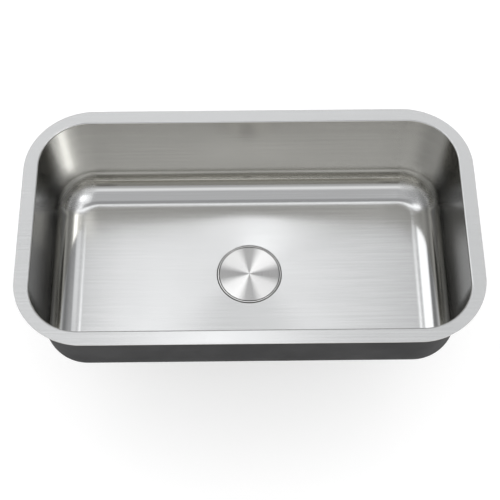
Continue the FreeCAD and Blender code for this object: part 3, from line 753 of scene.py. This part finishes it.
# the section runs from the thread's top over the flange and its lip, down the cup, through the outlet and
# back up, and is closed by the thread's rows, whose normals lean by the thread's slope over a short height
def makeStrainerBody(v, steps=192):
    radius, low, high = turnedBox("strainer_body")
    inner, lipInner = v["cup"] - v["wall"], radius - v["lip"]
    dish, under, cupBottom = high - v["dish"], high - v["flange"], high - v["cupBottom"]
    outletTop = cupBottom - v["outletFall"]
    slope = v["outletFall"] / (inner - v["outlet"])
    spigotTop = outletTop - v["wall"] + (v["spigot"] - v["outlet"]) * slope
    top, foot = high - v["threadTop"], high - v["threadFoot"]
    edge, lip = (v["edge"], v["edgeSteps"]), (v["lip"] / v["lipBends"], v["bendSteps"])
    points, normals = bentProfile([
        (v["cup"], top, 0, 0), (v["cup"], under, v["throat"] - v["wall"], v["bendSteps"]),
        (radius, under, *edge), (radius, high, *lip), (lipInner, high, *lip), (lipInner, dish, *lip),
        (inner, dish, v["throat"], v["cupSteps"]), (inner, cupBottom, v["cupBend"], v["cupSteps"]),
        (v["outlet"], outletTop, v["wall"], v["bendSteps"]), (v["outlet"], low, *edge),
        (v["spigot"], low, *edge), (v["spigot"], spigotTop, v["wall"], v["bendSteps"]),
        (v["cup"], cupBottom - v["wall"], v["cupBend"] + v["wall"], v["cupSteps"]), (v["cup"], foot, 0, 0)])
    rows = int((top - foot) / v["pitch"] * v["rowsPerTurn"])
    heights = np.linspace(foot, top, rows)[1:-1]
    points = np.vstack([points, np.stack([v["cup"] + 0 * heights, heights], axis=-1)])
    normals = np.vstack([normals, np.tile([1.0, 0.0], (len(heights), 1))])
    angles = np.linspace(0, 2 * math.pi, steps, endpoint=False)
    place, facing = turnedGrid(points, normals, angles)
    short = v["pitch"] / v["slopeParts"]
    depths = [threadDepth(v, top, heights + shift, angles[:, None]) for shift in (-short, 0, short)]
    place[:, -len(heights):] -= facing[:, -len(heights):] * depths[1][..., None]
    facing[:, -len(heights):] += upward * ((depths[2] - depths[0]) / (2 * short))[..., None]
    return gridPiece("strainerBody", place, facing)


guideShape = {
    "top": 0.0687, "bottom": 0.0717, "hole": 0.0033, "hub": 0.0063, "arm": 0.003, "reach": 0.02063,
    "hubSteps": 9,
}


# the cross under the stopper: seen from its middle, the outline is an arm's end or side, or the hub's circle
def makeStrainerGuide(v):
    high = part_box("strainer_body")[1].z
    side, end = math.asin(v["arm"] / 2 / v["hub"]), math.atan(v["arm"] / 2 / v["reach"])
    quarter = np.concatenate([[-side, -end, end], np.linspace(side, math.pi / 2 - side, v["hubSteps"])[:-1]])
    arm = np.minimum(v["reach"] / np.cos(quarter), v["arm"] / 2 / np.maximum(np.abs(np.sin(quarter)), tiny))
    radius = np.tile(np.maximum(arm, v["hub"]), 4)
    angles = (quarter + np.arange(4)[:, None] * math.pi / 2).reshape(-1)
    top, bottom = high - v["top"], high - v["bottom"]
    rows = [(v["hole"], bottom), (v["hole"], top), (radius, top), (radius, bottom)]
    return outlinePiece("strainerGuide", angles, rows)


ringShapes = {
    "flange_gasket": {"bore": 0.0469, "edge": 0.0003, "finish": "black_rubber"},
    "sink_gasket": {"bore": 0.0451, "edge": 0.0008, "finish": "black_rubber"},
    "friction_ring": {"bore": 0.0451, "edge": 0.0002, "finish": "pressed_fibre"},
    "tailpiece_washer": {"bore": 0.0175, "edge": 0.0003, "finish": "white_plastic"},
    "hub_seal_ring": {"bore": 0.00306, "edge": 0.0004, "finish": "black_rubber"},
    "stopper_backing": {"bore": 0.003, "edge": 0.0003, "finish": "polished_steel"},
}


# a ring between its bore and the frame's radius and heights
def makeRing(node, v, edgeSteps=5):
    radius, low, high = turnedBox(node)
    bend = (v["edge"], edgeSteps)
    corners = [(v["bore"], low, *bend), (radius, low, *bend), (radius, high, *bend), (v["bore"], high, *bend)]
    return turnedPiece(spoken(node), corners)


locknutShape = {
    "bore": 0.0437, "wall": 0.0502, "collar": 0.0532, "collarHeight": 0.0035, "lugs": 6, "lugHalf": 0.006,
    "lugReach": 0.0582, "lugBend": 0.002, "edge": 0.0004, "flatSteps": 4, "bendSteps": 8, "arcSteps": 8,
}


# seen from its middle the locknut's outline is a lug, as one of the rounded bars across the middle that
# pairs of lugs make, or the wall or collar where that reaches further; angles gather where a lug turns
def makeLocknut(v):
    low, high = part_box("locknut")
    flat = math.atan((v["lugHalf"] - v["lugBend"]) / v["lugReach"])
    bend = math.atan(v["lugHalf"] / (v["lugReach"] - v["lugBend"]))
    atCollar, atWall = math.asin(v["lugHalf"] / v["collar"]), math.asin(v["lugHalf"] / v["wall"])
    sector = math.pi / v["lugs"]
    half = np.concatenate([np.linspace(0, flat, v["flatSteps"]), np.linspace(flat, bend, v["bendSteps"])[1:],
                           [atCollar], np.linspace(atWall, sector, v["arcSteps"])])
    whole = np.concatenate([-half[:0:-1], half[:-1]])
    angles = (whole + np.arange(v["lugs"])[:, None] * 2 * sector).reshape(-1)
    bars = []
    for bar in range(v["lugs"] // 2):
        turned = angles - bar * 2 * sector
        ways = np.stack([np.cos(turned), np.sin(turned)], axis=-1)
        bars.append(outlineReach(np.array([v["lugReach"], v["lugHalf"]]), v["lugBend"], 0 * ways, ways))
    lug = np.max(bars, axis=0)
    wall, collar = np.maximum(lug, v["wall"]), np.maximum(lug, v["collar"])
    step = high.z - v["collarHeight"]
    rows = [(v["bore"], low.z), (v["bore"], high.z), (collar, high.z),
            (collar, step), (wall, step), (wall, low.z)]
    return softEdges(outlinePiece("locknut", angles, rows), v["edge"])


hexShapes = {
    "coupling_nut": {"flats": 0.056, "bevel": 0.00433, "edge": 0.0004, "bore": 0.024, "lipBore": 0.02005,
                     "lip": 0.003},
    "stopper_nut": {"flats": 0.010, "bevel": 0.0007, "edge": 0.0001, "bore": 0.003, "lipBore": 0.003,
                    "lip": 0.001},
}


# a six-sided nut: the flats stand at their distance over the cosine of the angle from the flat's middle,
# and the bevel cuts them off at half the height that they reach beyond its circle
def makeHexNut(node, v, steps=96):
    low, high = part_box(node)
    offset = np.linspace(-math.pi / 6, math.pi / 6, steps // 6 + 1)[:-1]
    angles = (offset + np.arange(6)[:, None] * math.pi / 3 + math.pi / 6).reshape(-1)
    flats = np.tile(v["flats"] / 2 / np.cos(offset), 6)
    circle = v["flats"] / 2 / math.cos(math.pi / 6) - v["bevel"]
    cut = np.maximum(flats - circle, 0) / 2
    seat = low.z + v["lip"]
    face = np.minimum(flats, circle)
    rows = [(v["bore"], seat), (v["bore"], high.z), (face, high.z), (flats, high.z - cut),
            (flats, low.z + cut), (face, low.z), (v["lipBore"], low.z), (v["lipBore"], seat)]
    return softEdges(outlinePiece(spoken(node), angles, rows), v["edge"])


tailpieceShape = {
    "tube": 0.01905, "wall": 0.001, "flange": 0.0015, "edge": (0.0003, 4), "mouthSteps": 6, "steps": 160,
}


# a tube with a flange at the top, whose mouth is rounded by half the wall
def makeTailpiece(v):
    radius, low, high = turnedBox("tailpiece")
    bore = v["tube"] - v["wall"]
    under = high - v["flange"]
    bend = v["edge"]
    return turnedPiece("tailpiece", [
        (bore, high, v["wall"] / 2, v["mouthSteps"]), (radius, high, *bend), (radius, under, *bend),
        (v["tube"], under, *bend), (v["tube"], low, *bend), (bore, low, *bend)], v["steps"])


hubShape = {
    "bore": 0.00306, "body": 0.006, "spigot": 0.00453, "rivet": 0.0066, "rivetHeight": 0.0015,
    "sheet": 0.0007, "flangeHeight": 0.0015, "bend": (0.0005, 5), "sharp": (0.0001, 2), "groove": 0.0016,
    "grooveTop": 0.002, "grooveHeight": 0.0024,
}


# a bush with a groove for the seal ring in its bore, a flange on the basket's floor and a rivet head below it
def makeBasketHub(v):
    radius, low, high = turnedBox("basket_hub")
    under = low + v["rivetHeight"]
    floor = under + v["sheet"]
    shoulder = floor + v["flangeHeight"]
    grooveTop = high - v["grooveTop"]
    grooveLow = grooveTop - v["grooveHeight"]
    deep = v["bore"] + v["groove"]
    sharp, bend = v["sharp"], v["bend"]
    return turnedPiece("basketHub", [
        (v["bore"], low, *sharp), (v["rivet"], low, *bend), (v["rivet"], under, *sharp),
        (v["spigot"], under, *sharp), (v["spigot"], floor, *sharp), (radius, floor, *sharp),
        (radius, shoulder, *bend), (v["body"], shoulder, *bend), (v["body"], high, *bend),
        (v["bore"], high, *sharp), (v["bore"], grooveTop, *sharp), (deep, grooveTop, *sharp),
        (deep, grooveLow, *sharp), (v["bore"], grooveLow, *sharp)])


stopperShape = {
    "post": 0.003, "postEnd": (0.001, 6), "postSteps": 48, "waist": 0.0055, "waistTop": 0.003,
    "headFoot": 0.0045, "knobBend": (0.0015, 10), "knobFoot": (0.0005, 5), "socket": 0.0055,
    "edge": (0.0003, 3), "sealBore": (0.0003, 4), "sealFoot": 0.019, "sealFootBend": (0.001, 6),
    "sealBevel": 0.00158, "sealBevelBend": (0.0003, 5), "sealTopBend": (0.001, 8),
}


# a pin, more rounded at its foot
def makeStopperPost(v):
    section = barSection(*turnedBox("stopper_post"), v["postEnd"], v["edge"])
    return turnedPiece("stopperPost", section, v["postSteps"])


# a waisted knob with a blind socket for the post
def makeStopperKnob(v):
    radius, low, high = turnedBox("stopper_knob")
    socket = low + v["socket"]
    edge, bend = v["edge"], v["knobBend"]
    return turnedPiece("stopperKnob", [
        (0, socket, 0, 0), (v["post"], socket, *edge), (v["post"], low, *edge),
        (v["waist"], low, *v["knobFoot"]), (v["waist"], low + v["waistTop"], *bend),
        (radius, low + v["headFoot"], *bend), (radius, high, *bend), (0, high, 0, 0)])


# a disc on the post with a bevel round its foot
def makeStopperSeal(v):
    radius, low, high = turnedBox("stopper_seal")
    return turnedPiece("stopperSeal", [
        (v["post"], low, *v["sealBore"]), (v["sealFoot"], low, *v["sealFootBend"]),
        (radius, low + v["sealBevel"], *v["sealBevelBend"]), (radius, high, *v["sealTopBend"]),
        (v["post"], high, *v["sealBore"])])


# a pressed part keeps the frame's own surface, its corners joined and shaded smooth up to an angle
def smoothCopy(node, sharpFrom=32.0):
    mesh = cadNodes[node].data.copy()
    mesh.name = spoken(node)
    joined = bmesh.new()
    joined.from_mesh(mesh)
    bmesh.ops.remove_doubles(joined, verts=joined.verts, dist=10 * sameSpot)
    joined.to_mesh(mesh)
    joined.free()
    for layer in ("custom_normal", "sharp_edge"):
        if layer in mesh.attributes:
            mesh.attributes.remove(mesh.attributes[layer])
    mesh.polygons.foreach_set("use_smooth", np.ones(len(mesh.polygons), bool))
    mesh.set_sharp_from_angle(angle=math.radians(sharpFrom))
    return placed(spoken(node), mesh)


lidShape = {
    "edge": (0.0006, 8), "steps": 192, "feet": 3, "footRadius": 0.0025, "footCircle": 0.0435,
    "footEdge": (0.0004, 4), "footSteps": 40,
}


# a flat round plate with rounded edges
def makeLid(v):
    return turnedPiece("drainLid", barSection(*turnedBox("drain_lid"), v["edge"], v["edge"]), v["steps"])


# round feet spread evenly on a circle, the first at the back
def makeLidFeet(v):
    low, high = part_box("lid_feet")
    section = barSection(v["footRadius"], low.z, high.z, v["footEdge"], v["footEdge"])
    feet = []
    for k in range(v["feet"]):
        angle = 2 * math.pi * k / v["feet"] + math.pi / 2
        middle = (v["footCircle"] * math.cos(angle), v["footCircle"] * math.sin(angle))
        feet.append(turnedPiece("lidFoot%d" % (k + 1), section, v["footSteps"], middle))
    return feet


padShape = {
    "corner": 0.018, "near": 0.002, "thickness": 0.003, "edge": 0.0008, "edgeSteps": 5, "rows": 9,
    "steps": 160,
}


# a rounded rectangle seen from its middle, whose faces follow the floor above at a distance straight below
# it; the outline's angles are spread evenly round an ellipse of the pad's own proportions
def makePad(node, v, bowl):
    low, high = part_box(node)
    middle = np.array([low.x + high.x, low.y + high.y]) / 2
    half = np.array([high.x - low.x, high.y - low.y]) / 2
    around = np.linspace(0, 2 * math.pi, v["steps"], endpoint=False)
    ways = unit(np.stack([np.cos(around), np.sin(around)], axis=-1) * half)
    shares = np.linspace(0, 1, v["rows"])
    turn = np.linspace(0, math.pi / 2, v["edgeSteps"])
    far = v["near"] + v["thickness"]
    rows = [(v["edge"], v["near"], share) for share in shares] + [(0.0, v["near"] + v["edge"] / 4, 1.0)]
    rows += [(v["edge"] * (1 - math.cos(t)), far - v["edge"] * (1 - math.sin(t)), 1.0) for t in turn]
    rows += [(v["edge"] * 2, far, share) for share in shares[::-1]]
    places = []
    for inset, drop, share in rows:
        reach = outlineReach(half - inset, v["corner"] - inset, 0 * ways, ways)
        flat = middle + ways * (reach * share)[:, None]
        distance = np.linalg.norm(flat, axis=-1)
        height = floorFall(bowl, floorReach(bowl, unit(flat)), distance)[0] - drop
        places.append(np.concatenate([flat, height[:, None]], axis=-1))
    return gridPiece(spoken(node), np.stack(places, axis=1), closed=False)


settle(makeBowl(bowlShape), "bowl", "brushed_steel")
settle(makeCoating(coatingShape, bowlShape), "sound_coating", "dark_coating")
for side in ("left", "right", "front", "rear"):
    settle(makePad("sound_pad_" + side, padShape, bowlShape), "sound_pad_" + side, "black_rubber")
print("bowl, coating and pads made")

settle(makeStrainerBody(strainerShape), "strainer_body", "polished_steel")
settle(makeStrainerGuide(guideShape), "strainer_body", "polished_steel")
for node, values in ringShapes.items():
    settle(makeRing(node, values), node, values["finish"])
settle(makeLocknut(locknutShape), "locknut", "plain_brass")
settle(makeHexNut("coupling_nut", hexShapes["coupling_nut"]), "coupling_nut", "bright_chrome")
settle(makeTailpiece(tailpieceShape), "tailpiece", "bright_chrome")
print("strainer, rings, nuts and tailpiece made")

settle(smoothCopy("basket"), "basket", "polished_steel")
settle(makeBasketHub(hubShape), "basket_hub", "polished_steel")
settle(makeStopperPost(stopperShape), "stopper_post", "polished_steel")
settle(makeStopperKnob(stopperShape), "stopper_knob", "bright_chrome")
settle(makeStopperSeal(stopperShape), "stopper_seal", "black_rubber")
settle(makeHexNut("stopper_nut", hexShapes["stopper_nut"], 48), "stopper_nut", "plain_brass")
settle(makeLid(lidShape), "drain_lid", "turned_steel")
for foot in makeLidFeet(lidShape):
    settle(foot, "lid_feet", "black_rubber")
print("basket, stopper and lid made")

# soft cards round the sky, seen only in reflections: middle and half size in degrees from straight up, to
# the right and to the back, then how soft the edges are and the level inside; each card lies over those
# before it
skyCards = {
    "canopy": (0, -20, 50, 50, 30, 0.6), "frontStrip": (0, -50, 40, 5, 8, 1.1),
    "backBank": (-10, 27, 30, 9, 6, 0.7), "topStrip": (0, 13, 40, 4, 5, 1.5),
    "overhead": (0, 1, 35, 6, 6, 0.4), "backGlow": (-1.5, 22, 2.5, 5, 6, 2.6),
    "highBack": (0, 37, 30, 5, 6, 1.1), "leftBank": (-30, 26, 15, 7, 7, 1.6),
    "rightBank": (20, 27, 8, 4, 8, 1.0), "leftCorner": (-30, 9, 10, 4, 6, 1.8),
    "rightCorner": (30, 2, 5, 5, 7, 1.9), "frontRight": (25, -20, 13, 16, 10, 1.3),
    "cornerShine": (34, -22, 6, 6, 8, 4.2), "frontLeft": (-30, -28, 10, 12, 12, 0.45),
    "lowBack": (0, 62, 10, 10, 8, 0.5),
}
# the sky behind the cards: its level overhead and at the horizon, and the degrees between which it rises
skyBase = {"Low": 0.16, "Edge": 0.85, "Rise": 60.0, "Full": 82.0}


# a direction as degrees from straight up, split into its parts to the right and to the back, and the level
# where there is no card, which rises towards the horizon
def skyWork(tree, ins, least=0.0001):
    way = addNode(tree, "SeparateXYZ", {0: ins["Way"]}).outputs
    degrees = addMath(tree, "DEGREES", addMath(tree, "ARCCOSINE", way["Z"]))
    share = addMath(tree, "DIVIDE", degrees, addMath(tree, "MAXIMUM", addRadius(tree, ins["Way"]), least))
    return {"Right": addMath(tree, "MULTIPLY", way["X"], share),
            "Back": addMath(tree, "MULTIPLY", way["Y"], share),
            "Base": addEase(tree, degrees, ins["Rise"], ins["Full"], ins["Low"], ins["Edge"])}


# one card laid over what is behind it: along each axis it fades out within half its softness of its edge
def cardWork(tree, ins):
    masks = []
    for axis in ("Right", "Back"):
        away = addMath(tree, "ABSOLUTE", addMath(tree, "SUBTRACT", ins[axis], ins["Middle " + axis]))
        past = addMath(tree, "DIVIDE", addMath(tree, "SUBTRACT", away, ins["Half " + axis]), ins["Softness"])
        masks.append(addEase(tree, past, -0.5, 0.5, 1.0, 0.0))
    return {"Level": addMix(tree, addMath(tree, "MULTIPLY", *masks), ins["Behind"], ins["Card"])}


# a world that cards show in where it is reflected, and that is plain white everywhere else
def makeSky(cards, base):
    sky = makeGroup("skyWay", {"Way": (0.0, 0.0, 0.0), **base}, ["Right", "Back", "Base"], skyWork)
    labels = ("Middle Right", "Middle Back", "Half Right", "Half Back", "Softness", "Card")
    inputs = dict.fromkeys(("Right", "Back", "Behind", *labels), 0.0)
    card = makeGroup("softCard", inputs, ["Level"], cardWork)
    world = bpy.data.worlds.new("studioSky")
    world.use_nodes = True
    world.cycles.sampling_method = "NONE"
    tree = world.node_tree
    way = tree.nodes.new("ShaderNodeTexCoord").outputs["Generated"]
    spot = addGroup(tree, sky, Way=way)
    level = spot["Base"]
    for values in cards.values():
        inputs = {"Right": spot["Right"], "Back": spot["Back"], "Behind": level, **dict(zip(labels, values))}
        level = addNode(tree, "Group", inputs, node_tree=card).outputs[0]
    glossy = tree.nodes.new("ShaderNodeLightPath").outputs["Is Glossy Ray"]
    background = tree.nodes["Background"]
    background.inputs["Color"].default_value = (1, 1, 1, 1)
    tree.links.new(addMix(tree, glossy, 1.0, level), background.inputs["Strength"])
    bpy.context.scene.world = world


makeSky(skyCards, skyBase)

floorShape = {"size": 30.0, "height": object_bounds()[0].z, "colour": (0.80, 0.80, 0.80, 1), "glow": 0.38}


# a pale floor that keeps the shadow, and that camera, reflections and clear things see lifted to white; it
# is clear from below, so that the underside can be seen
def makeFloor(v):
    half = v["size"] / 2
    mesh = bpy.data.meshes.new("studioFloor")
    corners = [(-half, -half), (half, -half), (half, half), (-half, half)]
    mesh.from_pydata([(x, y, v["height"]) for x, y in corners], [], [(0, 1, 2, 3)])
    material = bpy.data.materials.new("paleFloor")
    material.use_nodes = True
    material.cycles.emission_sampling = "NONE"
    tree = material.node_tree
    shader = tree.nodes["Principled BSDF"]
    for socket, value in {"Base Color": v["colour"], "Roughness": 1.0, "Specular IOR Level": 0.0,
                          "Emission Color": (1, 1, 1, 1)}.items():
        shader.inputs[socket].default_value = value
    path = tree.nodes.new("ShaderNodeLightPath").outputs
    seen = addMath(tree, "MAXIMUM", path["Is Camera Ray"], path["Is Glossy Ray"])
    seen = addMath(tree, "MAXIMUM", seen, path["Is Transmission Ray"])
    tree.links.new(addMath(tree, "MULTIPLY", seen, v["glow"]), shader.inputs["Emission Strength"])
    below = tree.nodes.new("ShaderNodeNewGeometry").outputs["Backfacing"]
    tree.links.new(addMath(tree, "SUBTRACT", 1.0, below), shader.inputs["Alpha"])
    mesh.materials.append(material)
    placed("studioFloor", mesh)


makeFloor(floorShape)
print("studio made")
